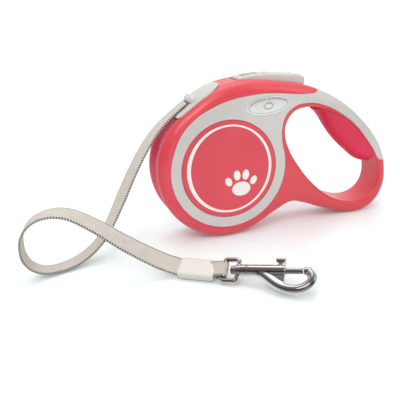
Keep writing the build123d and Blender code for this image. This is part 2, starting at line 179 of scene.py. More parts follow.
def lay_floor():
    """Pale sweep: a floor that curves up into a wall far behind the object."""
    bpy.ops.mesh.primitive_plane_add(size=1)
    floor = bpy.context.object
    floor.name = "floor"
    floor.data.transform(Matrix.Diagonal((9, 5, 1, 1)))
    bpy.ops.object.mode_set(mode="EDIT")
    mesh = bmesh.from_edit_mesh(floor.data)
    for edge in mesh.edges:
        edge.select_set(all(vert.co.y > 0 for vert in edge.verts))
    mesh.select_flush_mode()
    for step in range(1, 10):
        tilt = radians(10 * step)
        stride = (0, 0.12 * cos(tilt), 0.12 * sin(tilt))
        bpy.ops.mesh.extrude_region_move(TRANSFORM_OT_translate={"value": stride})
    bpy.ops.mesh.extrude_region_move(TRANSFORM_OT_translate={"value": (0, 0, 2.5)})
    bpy.ops.object.mode_set(mode="OBJECT")
    bpy.ops.object.shade_smooth()
    material = bpy.data.materials.new("pale_floor")
    material.use_nodes = True
    shader = material.node_tree.nodes["Principled BSDF"]
    shader.inputs["Base Color"].default_value = (0.78, 0.855, 0.855, 1)
    shader.inputs["Roughness"].default_value = 0.35
    shader.inputs["Emission Color"].default_value = (1, 1, 1, 1)
    make = Maker(material.node_tree)
    parts = make.node("ShaderNodeSeparateXYZ")
    make.link(make.node("ShaderNodeTexCoord").outputs["Object"], parts.inputs[0])
    make.link(make.remap(parts.outputs["Y"], 0.1, 1.3, 0.10, 0.5), shader.inputs["Emission Strength"])
    floor.data.materials.append(material)


bpy.ops.object.select_all(action="DESELECT")
place_camera()
place_lights()
lay_floor()


# ---------------------------------------------------------------- helpers for shapes
def only(obj):
    bpy.ops.object.select_all(action="DESELECT")
    obj.select_set(True)
    bpy.context.view_layer.objects.active = obj


def ring_stack(name, rings):
    """A skin over equal rings of points: one circle, extruded ring by ring, with its ends filled."""
    count = len(rings[0])
    bpy.ops.object.select_all(action="DESELECT")
    bpy.ops.mesh.primitive_circle_add(vertices=count, radius=1)
    obj = bpy.context.object
    obj.name = name
    obj.data.name = name
    for layer in ("place", "row"):
        obj.data.attributes.new(layer, "INT", "POINT")
    for k, item in enumerate(obj.data.attributes["place"].data):
        item.value = k
    bpy.ops.object.mode_set(mode="EDIT")
    bpy.ops.mesh.select_all(action="SELECT")
    for row, ring in enumerate(rings):
        if row:
            bpy.ops.mesh.extrude_region_move()
        mesh = bmesh.from_edit_mesh(obj.data)
        place, line = mesh.verts.layers.int["place"], mesh.verts.layers.int["row"]
        for vert in mesh.verts:
            if vert.select:
                vert.co = ring[vert[place]]
                vert[line] = row
        bmesh.update_edit_mesh(obj.data)
    for row in (0, len(rings) - 1):
        choose_rows(obj, (row,))
        bpy.ops.mesh.edge_face_add()
    bpy.ops.object.mode_set(mode="OBJECT")
    clean(obj)
    return obj


def choose_rows(obj, rows):
    """Select, in edit mode, the edges that run along the given rings."""
    bpy.ops.mesh.select_all(action="DESELECT")
    mesh = bmesh.from_edit_mesh(obj.data)
    line = mesh.verts.layers.int["row"]
    for edge in mesh.edges:
        a, b = (vert[line] for vert in edge.verts)
        if a == b and a in rows:
            edge.select_set(True)
    bmesh.update_edit_mesh(obj.data)


def clean(obj):
    """Merge doubles, close the mesh's normals outwards and leave the object deselected."""
    only(obj)
    bpy.ops.object.mode_set(mode="EDIT")
    bpy.ops.mesh.select_all(action="SELECT")
    bpy.ops.mesh.remove_doubles(threshold=1e-6)
    bpy.ops.mesh.normals_make_consistent(inside=False)
    bpy.ops.object.mode_set(mode="OBJECT")
    obj.select_set(False)


def modifier(obj, kind, **values):
    only(obj)
    mod = obj.modifiers.new(kind.lower(), kind)
    for key, value in values.items():
        setattr(mod, key, value)
    bpy.ops.object.modifier_apply(modifier=mod.name)


def cut(obj, tool, operation="DIFFERENCE"):
    modifier(obj, "BOOLEAN", object=tool, operation=operation, solver="EXACT")


def drop(*tools):
    for tool in tools:
        bpy.data.objects.remove(tool)


def duplicate(obj, name):
    copy = bpy.data.objects.new(name, obj.data.copy())
    copy.data.name = name
    bpy.context.scene.collection.objects.link(copy)
    return copy


def soften(obj, width, segments=2, angle=40):
    modifier(obj, "BEVEL", width=width, segments=segments, limit_method="ANGLE", angle_limit=radians(angle),
             harden_normals=False, use_clamp_overlap=True)


def smooth(obj, angle=35):
    only(obj)
    bpy.ops.object.shade_smooth_by_angle(angle=radians(angle))
    obj.select_set(False)


def through(points, steps=6, closed=True):
    """Points along a smooth curve through given ones (2-D, millimetres)."""
    data = bpy.data.curves.new("guide", "CURVE")
    data.dimensions = "3D"
    data.resolution_u = steps
    spline = data.splines.new("BEZIER")
    spline.bezier_points.add(len(points) - 1)
    for knot, place in zip(spline.bezier_points, points):
        knot.co = (place[0], place[1], 0)
        knot.handle_left_type = knot.handle_right_type = "AUTO"
    spline.use_cyclic_u = closed
    guide = bpy.data.objects.new("guide", data)
    bpy.context.scene.collection.objects.link(guide)
    mesh = bpy.data.meshes.new_from_object(guide)
    out = [(v.co.x, v.co.y) for v in mesh.vertices]
    bpy.data.objects.remove(guide)
    bpy.data.meshes.remove(mesh)
    return out


def ease(value, low, high):
    part = min(1.0, max(0.0, (value - low) / (high - low)))
    return part * part * (3 - 2 * part)


def mix(a, b, share):
    return a + (b - a) * share


def slab(name, outline, low, high):
    """A plate with the given side outline, between two Y values in millimetres."""
    rings = [[spot(x, y, z) for x, z in outline] for y in (low, high)]
    return ring_stack(name, rings)


def rod(name, x, z, radius, low, high, sides=48):
    outline = [(x + radius * cos(2 * pi * k / sides), z + radius * sin(2 * pi * k / sides))
               for k in range(sides)]
    return slab(name, outline, low, high)


# ---------------------------------------------------------------- free tape, first because it sets the spread
TAPE_ROUTE = [(-20.0, 0.0, 79.4), (-34.0, -0.3, 70.6), (-46.2, -2.0, 56.4), (-55.0, -4.0, 43.0),
              (-62.8, -7.0, 30.2), (-70.4, -10.0, 18.0), (-78.6, -12.6, 8.2), (-92.0, -16.5, 1.6),
              (-108.6, -21.5, 2.0), (-118.2, -26.5, 12.2), (-118.2, -31.5, 28.6), (-109.6, -35.6, 38.6),
              (-95.6, -39.6, 40.4), (-81.6, -43.6, 31.8), (-69.6, -45.8, 21.8), (-57.0, -47.2, 12.6),
              (-47.8, -48.6, 6.8), (-42.1, -50.7, 4.8)]
TAPE_WIDTH = 10.0
TAPE_THICK = 1.1


def route_points(route, resolution):
    data = bpy.data.curves.new("route", "CURVE")
    data.dimensions = "3D"
    data.resolution_u = resolution
    spline = data.splines.new("NURBS")
    spline.points.add(len(route) - 1)
    for point, place in zip(spline.points, route):
        point.co = (*place, 1)
    spline.order_u = 3
    spline.use_endpoint_u = True
    guide = bpy.data.objects.new("route", data)
    bpy.context.scene.collection.objects.link(guide)
    mesh = bpy.data.meshes.new_from_object(guide)
    out = [v.co.copy() for v in mesh.vertices]
    bpy.data.objects.remove(guide)
    bpy.data.meshes.remove(mesh)
    return out


def lengths(points):
    total, out = 0.0, [0.0]
    for a, b in zip(points, points[1:]):
        total += (b - a).length
        out.append(total)
    return out


def flat_section(width, thick, across=10):
    """Half-rounded flat section of the tape, as (across, up) pairs in millimetres."""
    edge = [(width / 2 - thick / 2 + thick / 2 * cos(a), thick / 2 * sin(a))
            for a in [radians(d) for d in (-90, -45, 0, 45, 90)]]
    top = [(width / 2 - thick / 2 - (width - thick) * k / across, thick / 2) for k in range(1, across)]
    far = [(-u, -v) for u, v in edge]
    under = [(-u, -v) for u, v in top]
    return edge + top + far + under


# How far the tape's flat side faces the front along its run: 1 full on, 0 edge on, sign says which face.
TAPE_FACING = [(0.0, 0.42), (0.05, 0.46), (0.14, 0.60), (0.25, 0.66), (0.34, 0.58), (0.44, 0.50), (0.50, 0.32),
               (0.55, 0.08), (0.60, -0.12), (0.66, -0.36), (0.72, -0.48), (0.80, -0.60), (0.88, -0.74),
               (0.95, -0.84), (1.0, -0.86)]
FRONT = Vector((-0.2712, -0.9040, 0.3305)).normalized()


def facing(share):
    for (a, low), (b, high) in zip(TAPE_FACING, TAPE_FACING[1:]):
        if share <= b:
            return mix(low, high, (share - a) / (b - a))
    return TAPE_FACING[-1][1]


def make_tape():
    points = route_points([spot(*p) for p in TAPE_ROUTE], 16)
    run = lengths(points)
    section = flat_section(TAPE_WIDTH, TAPE_THICK)
    sides = []
    for k, place in enumerate(points):
        ahead = (points[min(k + 1, len(points) - 1)] - points[max(k - 1, 0)]).normalized()
        square = ahead.cross(FRONT).normalized()
        away = (-FRONT + ahead * ahead.dot(FRONT)).normalized()
        turn = facing(run[k] / run[-1])
        side = square * turn + away * sqrt(1 - turn * turn)
        if run[k] < 0.012:
            level = Vector((0, 1, 0))
            side = (level - ahead * level.dot(ahead)).lerp(side, ease(run[k], 0.002, 0.012)).normalized()
        sides.append((side, ahead.cross(side)))
    rings = [[place + side * u * MM + normal * v * MM for u, v in section]
             for place, (side, normal) in zip(points, sides)]
    tape = ring_stack("woven_tape", rings)
    wrap_uv(tape, run, section)
    smooth(tape, 50)
    return tape, points, run[-1]


def wrap_uv(obj, run, section):
    """UV in metres times a thousand: U across the tape from its middle, V along it."""
    mesh = obj.data
    place, row = mesh.attributes["place"].data, mesh.attributes["row"].data
    layer = mesh.uv_layers.new(name="weave")
    for loop in mesh.loops:
        index = loop.vertex_index
        layer.data[loop.index].uv = (section[place[index].value][0], run[row[index].value] / MM)


tape, tape_points, tape_length = make_tape()


# ---------------------------------------------------------------- housing
TOP_POINTS = [(-8.4, 85.0), (1.3, 88.6), (10.5, 89.9), (22, 89.0), (35, 87.0), (48, 84.4), (59, 80.4)]
GRIP_POINTS = [(69, 75.3), (78.8, 68.6), (88.5, 59.7), (98.3, 48.0), (103.8, 38.0), (106.4, 27.0)]
FLOOR_POINTS = [(105.6, 15.0), (99.8, 5.2), (93.6, 1.4), (85.6, 0.0), (77.4, 1.1), (68.4, 3.9)]
ARM_POINTS = [(58.5, 7.9), (48, 12.4), (40, 14.3), (31, 10.9)]
OPENING_POINTS = [(35.3, 57.8), (36.6, 64.5), (41, 69.6), (48.5, 71.4), (56, 70.6), (63.5, 68.4),
                  (73.7, 62.9), (83.6, 55.2), (91.8, 45.4), (97.3, 36), (100.2, 27), (99.8, 18.6),
                  (96.5, 12.4), (90.5, 8.7), (83.1, 7.8), (72.9, 10.4), (62.8, 16.4), (52.8, 25.7),
                  (44, 37), (38, 47.5)]
TRIM_TOP_POINTS = [(-34.3, 45.0), (-31.9, 54.6), (-26.9, 64.6), (-18.7, 72.4), (-8.6, 77.6), (1.7, 80.7),
                   (11.8, 82.0), (21.9, 82.4), (32, 81.6), (42, 80.2), (50, 79.4), (56, 79.6), (62, 84)]
TRIM_INNER_POINTS = [(107.5, 33.0), (101.2, 32.6), (96.2, 39.9), (90.9, 47.4), (83.4, 56.4), (73.6, 64.4),
                     (63.8, 70.1), (56, 72.9), (48.4, 74), (40.9, 72.9), (35.4, 68.4), (32.9, 61.0),
                     (32.9, 54.0), (34.2, 46.0)]
PAD_RIDGE_POINTS = [(97.0, 30.6), (90.5, 32.2), (80.6, 40.2), (72.7, 48.3), (68.8, 53.5), (65.9, 58.0),
                    (62.6, 63.6), (58.2, 68.2)]
PAD_BACK_POINTS = [(98.6, 38.2), (96.2, 42.6), (93.0, 47.5), (84.4, 57.5), (79.4, 61.8), (73.9, 65.6),
                   (68.9, 68.7), (63.9, 71.2)]
NOZZLE_POINTS = [(-27.6, 73.0), (-18.6, 75.4), (-8.0, 80.0), (-2.6, 84.2), (-0.6, 87.4)]
SIDE_HALF, GRIP_HALF = 14.4, 10.4
RING_R, LABEL_R, CAVITY_R, CAVITY_HALF = 34.6, 28.4, 37.0, 11.6
SEAM = 0.14
SCREW_SPOTS = [(33.8, 17.6), (69.0, 8.4), (103.0, 21.0), (3.0, 83.0)]


def drum_arc(start, end, step=8, radius=DRUM_R):
    """Points round the drum from one angle to another, in degrees."""
    count = max(2, round(abs(end - start) / step))
    angles = [radians(start + (end - start) * k / count) for k in range(count + 1)]
    return [(radius * cos(a), DRUM_R + radius * sin(a)) for a in angles]


def outwards(outline):
    """Outward unit normal at each point of a closed outline."""
    area = sum(a[0] * b[1] - b[0] * a[1] for a, b in zip(outline, outline[1:] + outline[:1]))
    turn = 1 if area > 0 else -1
    normals = []
    for k in range(len(outline)):
        (ax, az), (bx, bz) = outline[k - 1], outline[(k + 1) % len(outline)]
        dx, dz = bx - ax, bz - az
        size = sqrt(dx * dx + dz * dz) or 1
        normals.append((turn * dz / size, -turn * dx / size))
    return normals


def half_at(x):
    """Half thickness of the housing at one X: full over the drum, slim at the grip."""
    return mix(SIDE_HALF, GRIP_HALF, ease(x, 36, 78))


def edge_round(x):
    """Radius of the long outer edge."""
    return mix(6.4, 4.6, ease(x, 50, 80))


def groove_depth(x, z):
    """Depth of the channel round the front rim, deepest under the outlet."""
    angle = degrees(atan2(z - DRUM_R, x)) % 360
    return 3.3 * ease(angle, 104, 122) * (1 - ease(angle, 205, 272))


def groove_shape(y):
    return 1 - ease(abs(y), 2.0, 10.4)


def housing_block(proud=0.0, grooved=True):
    """The housing's outer form at full thickness, its rim rounded and grooved."""
    outline = through(TOP_POINTS + GRIP_POINTS + FLOOR_POINTS + ARM_POINTS + drum_arc(298, 122))
    normals = outwards(outline)
    arcs = [radians(9 * k) for k in range(11)]
    widest = 6.4
    stations = [(-SIDE_HALF + widest * (1 - sin(a)), 1 - cos(a)) for a in reversed(arcs)]
    stations += [(0.8 * k, 0.0) for k in range(-9, 10)]
    stations += [(-y, inset) for y, inset in reversed(stations[:11])]
    rings = []
    for y, inset in stations:
        ring = []
        for (x, z), (nx, nz) in zip(outline, normals):
            depth = edge_round(x) * inset - proud
            if grooved:
                depth += groove_depth(x, z) * groove_shape(y)
            ring.append(spot(x - nx * depth, y, z - nz * depth))
        rings.append(ring)
    return ring_stack("housing_block", rings)


def flared_hole():
    """Cutter for the grip opening, widening to the sides so that the rim comes out rounded."""
    outline = through(OPENING_POINTS)
    normals = outwards(outline)
    radius = 2.2
    stations = []
    for k in range(7):
        a = radians(15 * k)
        stations.append((SIDE_HALF - radius * (1 - sin(a)), radius * (1 - cos(a))))
    stations = [(y, grow) for y, grow in stations] + [(SIDE_HALF + 3, radius + 0.2)]
    full = [(-y, grow) for y, grow in reversed(stations)] + stations
    rings = [[spot(x + nx * grow, y, z + nz * grow) for (x, z), (nx, nz) in zip(outline, normals)]
             for y, grow in full]
    return ring_stack("hole", rings)


def slice_and_fit(obj):
    """Cut the side faces across by planes, then draw the thickness in towards the grip."""
    only(obj)
    bpy.ops.object.mode_set(mode="EDIT")
    for x in range(33, 83, 3):
        bpy.ops.mesh.select_all(action="SELECT")
        bpy.ops.mesh.bisect(plane_co=spot(x, 0, 0), plane_no=(1, 0, 0))
    bpy.ops.object.mode_set(mode="OBJECT")
    fit_thickness(obj)


def fit_thickness(obj):
    for vert in obj.data.vertices:
        vert.co.y *= half_at((vert.co.x - DRUM.x) / MM) / SIDE_HALF


def trim_outline():
    """Side view of the trim beyond the ring: the top plate and the spine of the grip."""
    top = through(TRIM_TOP_POINTS, closed=False)
    low = through(TRIM_INNER_POINTS, closed=False)
    return top + [(125, 84), (125, 33)] + low


def shifted(outline, offset):
    return [(x + nx * offset, z + nz * offset) for (x, z), (nx, nz) in zip(outline, outwards(outline))]


def split_sides(obj, left_name, right_name):
    """Cut a piece at the joint plane into a left and a right half."""
    right = duplicate(obj, right_name)
    obj.name = obj.data.name = left_name
    for piece, side in ((obj, -1), (right, 1)):
        only(piece)
        bpy.ops.object.mode_set(mode="EDIT")
        bpy.ops.mesh.select_all(action="SELECT")
        bpy.ops.mesh.bisect(plane_co=(0, side * 0.00004, 0), plane_no=(0, side, 0),
                            use_fill=True, clear_inner=True)
        bpy.ops.object.mode_set(mode="OBJECT")
        clean(piece)
        smooth(piece, 32)
    return obj, right


def tilted_slot():
    """The channel that the tape runs out through."""
    bpy.ops.object.select_all(action="DESELECT")
    bpy.ops.mesh.primitive_cube_add(size=1)
    slot = bpy.context.object
    turn = Matrix.Rotation(radians(-33), 4, "Y")
    size = Matrix.Diagonal((0.025, 0.0112, 0.0040, 1))
    slot.data.transform(Matrix.Translation(spot(-25, 0, 76.2)) @ turn @ size)
    return slot


def make_housing():
    block = housing_block()
    for tool in (flared_hole(), rod("chamber", 0, DRUM_R, CAVITY_R, -CAVITY_HALF, CAVITY_HALF, 96),
                 slab("pocket", [(8.9, 74), (50.8, 74), (50.8, 95), (8.9, 95)], -6.6, 6.6), tilted_slot()):
        cut(block, tool)
        drop(tool)
    nozzle_hole = nozzle_zone(0.1)
    cut(block, nozzle_hole)
    drop(nozzle_hole)
    for x, z in SCREW_SPOTS:
        well = rod("screw_well", x, z, 1.95, 6, 20, 24)
        cut(block, well)
        drop(well)
    slice_and_fit(block)
    trim = duplicate(block, "trim")
    outline = trim_outline()
    for piece, offset, operation in ((block, 0, "DIFFERENCE"), (trim, -SEAM, "INTERSECT")):
        plate = slab("plate", shifted(outline, offset), -20, 20)
        disc = rod("disc", 0, DRUM_R, RING_R + offset, -20, 20, 128)
        cut(plate, disc, "UNION")
        cut(piece, plate, operation)
        drop(plate, disc)
    recess = rod("recess", 0, DRUM_R, LABEL_R + SEAM, -20, 20, 128)
    cut(trim, recess)
    drop(recess)
    for side in (-1, 1):
        well = badge_body("well", side, 0.12, 0)
        cut(trim, well)
        drop(well)
    return split_sides(block, "shell_left", "shell_right") + split_sides(trim, "trim_left", "trim_right")


def nozzle_outline():
    return through(NOZZLE_POINTS, closed=False) + [(0.4, 96), (-32, 96)]


def nozzle_zone(grow):
    """Space of the outlet cap: a lobe with a round rear end over the top front edge."""
    half = 10.6 + grow
    zone = slab("nozzle_zone", shifted(nozzle_outline(), grow), -half, half)
    plan = [(-34, -half), (-34, half)]
    plan += [(-9.6 + (9.2 + grow) * cos(radians(a)), half * sin(radians(a))) for a in range(90, -91, -6)]
    lobe = ring_stack("lobe", [[spot(x, y, z) for x, y in plan] for z in (60, 100)])
    cut(zone, lobe, "INTERSECT")
    drop(lobe)
    return zone


BADGE_MIDDLE, BADGE_SIZE = (24.2, 75.2), (13.3, 5.2)


def badge_body(name, side, grow, rise):
    """Oval plug with a domed outer face."""
    tilt, count = radians(3), 64
    stations = [(12.9, 1.0), (14.15, 1.0), (14.42 + rise * 0.3, 0.985)]
    if rise:
        stations += [(14.42 + rise * share, 1 - 0.08 * step) for step, share in
                     ((1, 0.62), (3, 0.75), (6, 0.9), (9, 0.97), (11.5, 1.0))]
    else:
        stations.append((18, 1.0))
    rings = []
    for y, scale in stations:
        ring = []
        for k in range(count):
            a = 2 * pi * k / count
            x, z = (BADGE_SIZE[0] + grow) * scale * cos(a), (BADGE_SIZE[1] + grow) * scale * sin(a)
            ring.append(spot(BADGE_MIDDLE[0] + x * cos(tilt) - z * sin(tilt), side * y,
                             BADGE_MIDDLE[1] + x * sin(tilt) + z * cos(tilt)))
        rings.append(ring)
    return ring_stack(name, rings)


def make_badge(name, side):
    badge = badge_body(name, side, 0, 0.6)
    smooth(badge, 50)
    return badge


def make_label(name, side):
    """Round plate with a raised, softened edge and a faintly domed face."""
    count = 128
    stations = [(12.9, 1.0), (14.1, 1.0), (14.36, 0.994), (14.46, 0.984), (14.46, 0.968), (14.36, 0.958),
                (14.34, 0.95), (14.40, 0.75), (14.46, 0.5), (14.49, 0.25), (14.5, 0.04)]
    rings = [[spot(LABEL_R * scale * cos(2 * pi * k / count), side * y,
                   DRUM_R + LABEL_R * scale * sin(2 * pi * k / count))
              for k in range(count)] for y, scale in stations]
    label = ring_stack(name, rings)
    smooth(label, 30)
    return label


def make_nozzle():
    """Outlet cap: a saddle that stands a little proud of the rim, with its hooded slot."""
    cap = housing_block(proud=0.55, grooved=False)
    zone = nozzle_zone(-0.06)
    cut(cap, zone, "INTERSECT")
    core = rod("core", 0, DRUM_R, CAVITY_R + 0.8, -20, 20, 96)
    slot = tilted_slot()
    cut(cap, core)
    cut(cap, slot)
    drop(zone, core, slot)
    cap.name = cap.data.name = "nozzle"
    soften(cap, 0.0007, 3, 35)
    smooth(cap, 40)
    return cap


def make_hood():
    """Rolled lip over the slot, round the guide pin: a bar with ball ends."""
    x, z, radius, half, count = -16.3, 80.9, 2.5, 7.4, 32
    full = [(-half, 0.25), (-half + 0.25, 0.55), (-half + 0.9, 0.82), (-half + 1.8, 0.96), (-half + 2.6, 1.0)]
    full += [(-y, scale) for y, scale in reversed(full)]
    rings = [[spot(x + radius * scale * 1.15 * cos(2 * pi * k / count), y,
                   z + radius * scale * sin(2 * pi * k / count))
              for k in range(count)] for y, scale in full]
    hood = ring_stack("nozzle_lip", rings)
    modifier(hood, "SUBSURF", levels=1, render_levels=1)
    smooth(hood, 60)
    return hood


def make_pad():
    """Soft swelling on the inside of the grip, D-shaped across and deepest in the middle."""
    ridge = through(list(reversed(PAD_RIDGE_POINTS)), closed=False)
    back = through(PAD_BACK_POINTS, closed=False)
    ridge = resample(ridge, 40)
    back = resample(back, 40)
    steps = 12
    rings = []
    for k in range(2 * steps + 1):
        turn = radians(-90 + 90 * k / steps)
        y, share = 9.3 * sin(turn), max(0.05, cos(turn))
        front = [(mix(b[0], r[0], share), mix(b[1], r[1], share)) for b, r in zip(reversed(back), ridge)]
        rings.append([spot(x, y, z) for x, z in back + front])
    pad = ring_stack("soft_grip", rings)
    modifier(pad, "SUBSURF", levels=1, render_levels=1)
    smooth(pad, 50)
    return pad


def resample(points, count):
    """Equally spaced points along an open run."""
    run = [0.0]
    for a, b in zip(points, points[1:]):
        run.append(run[-1] + sqrt((b[0] - a[0]) ** 2 + (b[1] - a[1]) ** 2))
    out, k = [], 0
    for step in range(count):
        goal = run[-1] * step / (count - 1)
        while k < len(run) - 2 and run[k + 1] < goal:
            k += 1
        share = (goal - run[k]) / (run[k + 1] - run[k])
        out.append((mix(points[k][0], points[k + 1][0], share), mix(points[k][1], points[k + 1][1], share)))
    return out


shell_left, shell_right, trim_left, trim_right = make_housing()
badge_left, badge_right = make_badge("badge_left", -1), make_badge("badge_right", 1)
label_left, label_right = make_label("label_left", -1), make_label("label_right", 1)
nozzle = make_nozzle()
nozzle_lip = make_hood()
soft_grip = make_pad()


# ---------------------------------------------------------------- brake button
BUTTON_TOP = [(9.8, 90.1), (15, 91.6), (22, 92.1), (32, 91.6), (42, 90.4), (49.9, 88.8)]
BUTTON_UNDER = [(51.2, 86.6), (50.2, 83.4), (44, 82.6), (35, 84.6), (22, 86.4), (13.6, 87.4)]


def rounded_plate(name, outline, half, radius, steps=4):
    """A plate on the joint plane whose long edges are rounded."""
    normals = outwards(outline)
    stations = [(-half + radius * (1 - sin(a)), radius * (1 - cos(a)))
                for a in (radians(90 * k / steps) for k in range(steps, -1, -1))]
    stations += [(-y, inset) for y, inset in reversed(stations)]
    rings = [[spot(x - nx * inset, y, z - nz * inset) for (x, z), (nx, nz) in zip(outline, normals)]
             for y, inset in stations]
    return ring_stack(name, rings)


def make_button():
    """Thumb key with a shallow dish at its front, and the darker skirt below it."""
    key = rounded_plate("button_key", through(BUTTON_TOP + BUTTON_UNDER), 6.3, 1.3)
    dish = slab("dish", [(13.2, 90.5), (23.8, 90.5), (24.6, 96), (12.2, 96)], -3.9, 3.9)
    cut(key, dish)
    drop(dish)
    soften(key, 0.00022, 2, 50)
    smooth(key, 35)
    skirt = rounded_plate("button_skirt", [(12.6, 84.0), (12.2, 89.6), (22, 90.2), (35, 89.0), (50.2, 86.6),
                                           (49.4, 84.2), (44, 82.4)], 3.9, 0.6)
    smooth(skirt, 35)
    return key, skirt


def make_mark():
    """Small raised triangle on the key, pointing to the front."""
    bpy.ops.object.select_all(action="DESELECT")
    bpy.ops.mesh.primitive_cylinder_add(vertices=3, radius=0.0024, depth=0.0009)
    mark = bpy.context.object
    mark.name = mark.data.name = "button_mark"
    turn = Matrix.Rotation(radians(4), 4, "Y") @ Matrix.Rotation(radians(90), 4, "Z")
    mark.data.transform(Matrix.Translation(spot(28.5, 0, 91.9)) @ turn)
    soften(mark, 0.0002, 2, 30)
    smooth(mark, 35)
    return mark


button_key, button_skirt = make_button()
button_mark = make_mark()


# ---------------------------------------------------------------- sleeve, tape end and snap hook
SLEEVE_START, SLEEVE_HEADING, SLEEVE_ROLL = (-42.4, -50.4, 4.6), -36.5, 20.0
HOOK_START, HOOK_HEADING, HOOK_RISE, HOOK_ROLL = (-26.6, -61.8, 5.0), -39.5, 6.7, 35.0
SLEEVE_FRAME = (Matrix.Translation(spot(*SLEEVE_START)) @ Matrix.Rotation(radians(SLEEVE_HEADING), 4, "Z")
                @ Matrix.Rotation(radians(SLEEVE_ROLL), 4, "X"))
HOOK_FRAME = (Matrix.Translation(spot(*HOOK_START)) @ Matrix.Rotation(radians(HOOK_HEADING), 4, "Z")
              @ Matrix.Rotation(radians(-HOOK_RISE), 4, "Y") @ Matrix.Rotation(radians(HOOK_ROLL), 4, "X"))


def make_sleeve():
    """Moulded sleeve: a soft-edged block, slimmer at both ends."""
    rings, count = [], 48
    stations = [(0.0, 0.80), (0.25, 0.90), (0.9, 0.965), (2.2, 1.0), (9.75, 1.015), (17.3, 1.0), (18.6, 0.965),
                (19.25, 0.90), (19.5, 0.80)]
    for u, scale in stations:
        ring = []
        for k in range(count):
            a = 2 * pi * k / count
            c, s = cos(a), sin(a)
            y = 6.0 * scale * (abs(c) ** 0.32) * (1 if c >= 0 else -1)
            z = 2.1 * scale * (abs(s) ** 0.42) * (1 if s >= 0 else -1)
            ring.append(SLEEVE_FRAME @ Vector((u * MM, y * MM, z * MM)))
        rings.append(ring)
    sleeve = ring_stack("sleeve", rings)
    smooth(sleeve, 45)
    return sleeve


def make_loop():
    """The tape's end: out of the sleeve, round the eye's bar and back."""
    bar, reach = 4.0, 1.25 + 0.75
    path = [(-3.6, -0.75), (-1.8, -0.95), (0.2, -1.45)]
    path += [(bar + reach * sin(radians(a)), -reach * cos(radians(a))) for a in range(0, 181, 15)]
    path += [(0.2, 1.45), (-1.8, 0.95), (-3.6, 0.75)]
    section = flat_section(8.6, TAPE_THICK)
    rings, run = [], [0.0]
    for k, (u, w) in enumerate(path):
        before, after = path[max(k - 1, 0)], path[min(k + 1, len(path) - 1)]
        du, dw = after[0] - before[0], after[1] - before[1]
        size = sqrt(du * du + dw * dw)
        if k:
            run.append(run[-1] + sqrt((u - path[k - 1][0]) ** 2 + (w - path[k - 1][1]) ** 2) * MM)
        rings.append([HOOK_FRAME @ (Vector((u - dw / size * n, t, w + du / size * n)) * MM)
                      for t, n in section])
    loop = ring_stack("tape_end", rings)
    wrap_uv(loop, run, section)
    smooth(loop, 50)
    return loop


def cast(node, name, voxel, rounds):
    """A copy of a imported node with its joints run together, as in a die casting."""
    copy = duplicate(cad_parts[node], name)
    clean_copy(copy)
    modifier(copy, "REMESH", mode="VOXEL", voxel_size=voxel, use_smooth_shade=True)
    modifier(copy, "SMOOTH", factor=0.5, iterations=rounds)
    smooth(copy, 60)
    return copy


def clean_copy(obj):
    only(obj)
    bpy.ops.object.mode_set(mode="EDIT")
    bpy.ops.mesh.select_all(action="SELECT")
    bpy.ops.mesh.remove_doubles(threshold=1e-6)
    bpy.ops.object.mode_set(mode="OBJECT")


sleeve = make_sleeve()
tape_end = make_loop()
cast_eye = cast("swivel_eye", "eye", 0.00018, 6)
cast_body = cast("hook_body", "snap_body", 0.00022, 8)
cast_bolt = cast("hook_bolt", "bolt", 0.00018, 5)


# ---------------------------------------------------------------- materials
def surface_group():
    """Shared effect: slow tint drift, fine grain and faint smears for a moulded or cast surface."""
    tree = bpy.data.node_groups.new("surface_detail", "ShaderNodeTree")
    for name, kind, way in (("Grain Size", "NodeSocketFloat", "INPUT"), ("Grain Depth", "NodeSocketFloat", "INPUT"),
                            ("Drift", "NodeSocketFloat", "OUTPUT"), ("Smear", "NodeSocketFloat", "OUTPUT"),
                            ("Normal", "NodeSocketVector", "OUTPUT")):
        tree.interface.new_socket(name, in_out=way, socket_type=kind)
    make = Maker(tree)
    source, result = make.node("NodeGroupInput"), make.node("NodeGroupOutput")
    place = make.node("ShaderNodeTexCoord").outputs["Object"]
    grain = make.node("ShaderNodeTexNoise")
    make.link(place, grain.inputs["Vector"])
    make.link(source.outputs["Grain Size"], grain.inputs["Scale"])
    grain.inputs["Detail"].default_value = 3
    ripple = make.noise(place, 55, 2)
    height = make.math("ADD", grain.outputs["Fac"], make.math("MULTIPLY", ripple, 1.0))
    made = make.node("ShaderNodeBump")
    made.inputs["Distance"].default_value = 0.0001
    make.link(source.outputs["Grain Depth"], made.inputs["Strength"])
    make.link(height, made.inputs["Height"])
    make.link(make.remap(make.noise(place, 18, 3), 0.35, 0.65), result.inputs["Drift"])
    make.link(make.remap(make.noise(place, 130, 4, 0.65), 0.4, 0.75), result.inputs["Smear"])
    make.link(made.outputs["Normal"], result.inputs["Normal"])
    return tree


SURFACE = surface_group()


def new_material(name):
    material = bpy.data.materials.new(name)
    material.use_nodes = True
    make = Maker(material.node_tree)
    return material, make, material.node_tree.nodes["Principled BSDF"]


def colour(code):
    """Linear RGBA from an sRGB hex string."""
    parts = [int(code[k:k + 2], 16) / 255 for k in (0, 2, 4)]
    return tuple(c / 12.92 if c < 0.04045 else ((c + 0.055) / 1.055) ** 2.4 for c in parts) + (1,)


def detail(make, size, depth):
    made = make.node("ShaderNodeGroup", node_tree=SURFACE)
    made.inputs["Grain Size"].default_value = size
    made.inputs["Grain Depth"].default_value = depth
    return made.outputs


